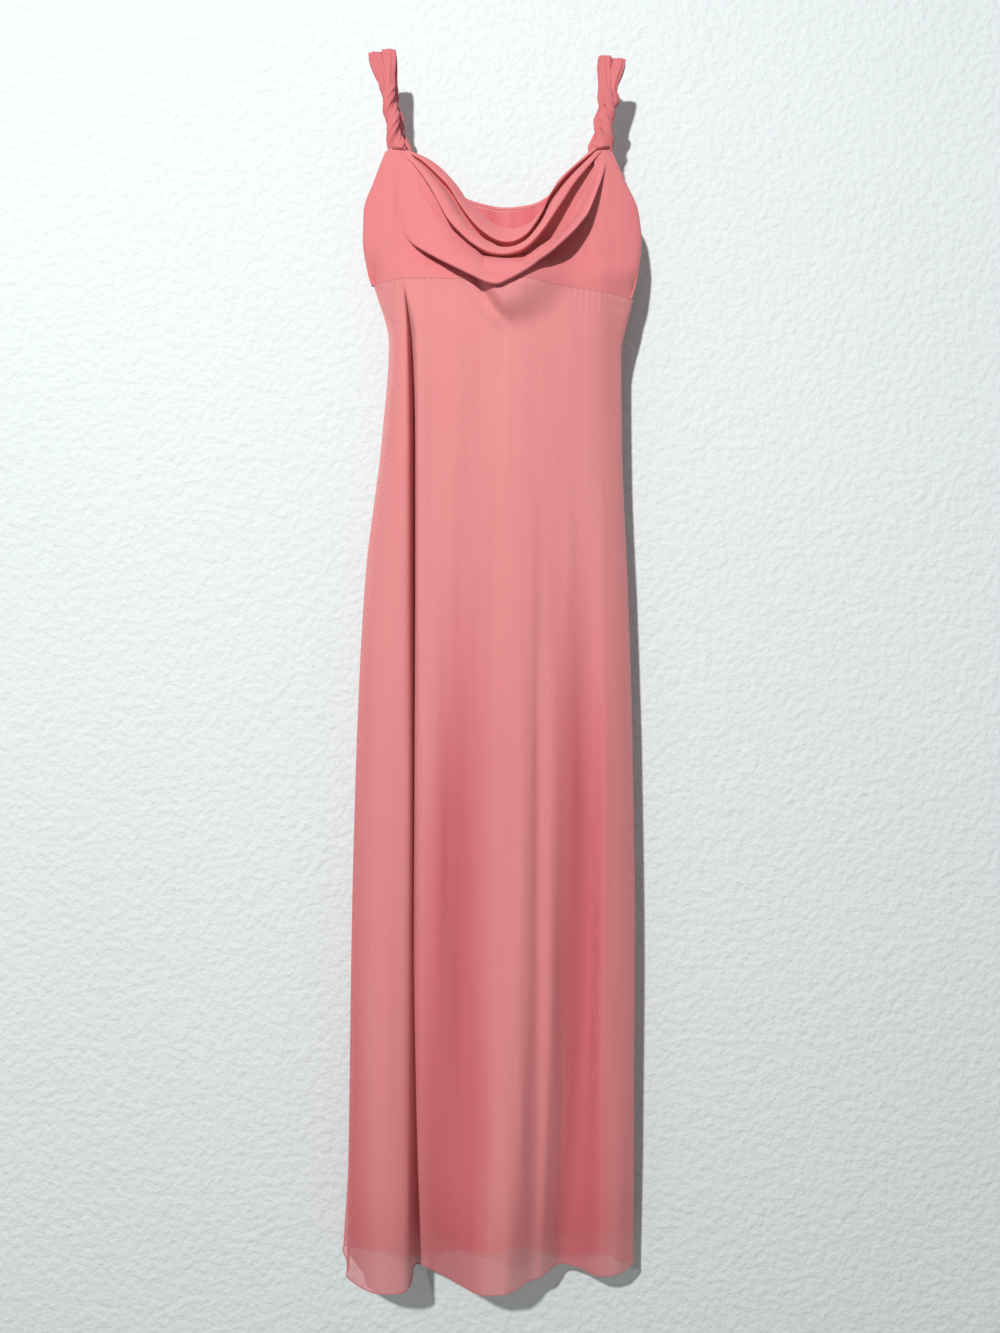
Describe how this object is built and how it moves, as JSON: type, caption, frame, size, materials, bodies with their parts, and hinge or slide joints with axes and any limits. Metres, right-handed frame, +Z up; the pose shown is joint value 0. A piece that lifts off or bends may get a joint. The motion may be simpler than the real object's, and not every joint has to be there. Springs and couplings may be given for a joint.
{
  "type": "evening gown",
  "caption": "Floor-length sleeveless lined gown with a draped cowl neck, twisted straps, a raised waist seam and a concealed side zip, hanging empty.",
  "frame": {"origin": "the hang point, midway between the two places where the straps pass over a hanger's arms", "axes": "+Z up along the hanging gown, -Y out of its front, +X to the viewer's right as the front is seen, which is the wearer's left"},
  "size_m": [0.3615, 0.1062, 1.5133],
  "materials": {
    "chiffon": "crepe chiffon, matt",
    "lining": "smooth woven lining, low sheen",
    "binding": "bias-cut chiffon",
    "tape": "woven tape",
    "zip_plastic": "moulded and painted zip parts",
    "wire": "plated wire and stops",
    "label": "woven satin label, blank"
  },
  "bodies": {
    "gown": {"bodice_front": "chiffon", "bodice_back": "chiffon", "skirt_front": "chiffon", "skirt_back": "chiffon", "bodice_lining_front": "lining", "bodice_lining_back": "lining", "skirt_lining_front": "lining", "skirt_lining_back": "lining", "waist_stay_tape": "tape", "armhole_binding_left": "binding", "armhole_binding_right": "binding", "back_neck_binding": "binding", "strap_left_outer_strand": "chiffon", "strap_left_inner_strand": "chiffon", "strap_right_outer_strand": "chiffon", "strap_right_inner_strand": "chiffon", "zip_tape_front": "tape", "zip_tape_back": "tape", "zip_coil_front": "zip_plastic", "zip_coil_back": "zip_plastic", "zip_top_stops": "wire", "zip_bottom_stop": "wire", "hook": "wire", "eye": "wire", "size_label": "label", "care_label": "label"},
    "zip_slider": {"zip_slider": "zip_plastic"},
    "zip_pull": {"zip_pull": "zip_plastic"}
  },
  "joints": [
    {"name": "zip_slide", "type": "slide", "parent": "gown", "child": "zip_slider", "axis": [0, 0, -1], "range_m": [0, 0.318]},
    {"name": "pull_hinge", "type": "hinge", "parent": "zip_slider", "child": "zip_pull", "pos_m": [0.138, 0.0161, -0.23], "axis": [1, 0, 0], "range_deg": [0, 150]}
  ]
}
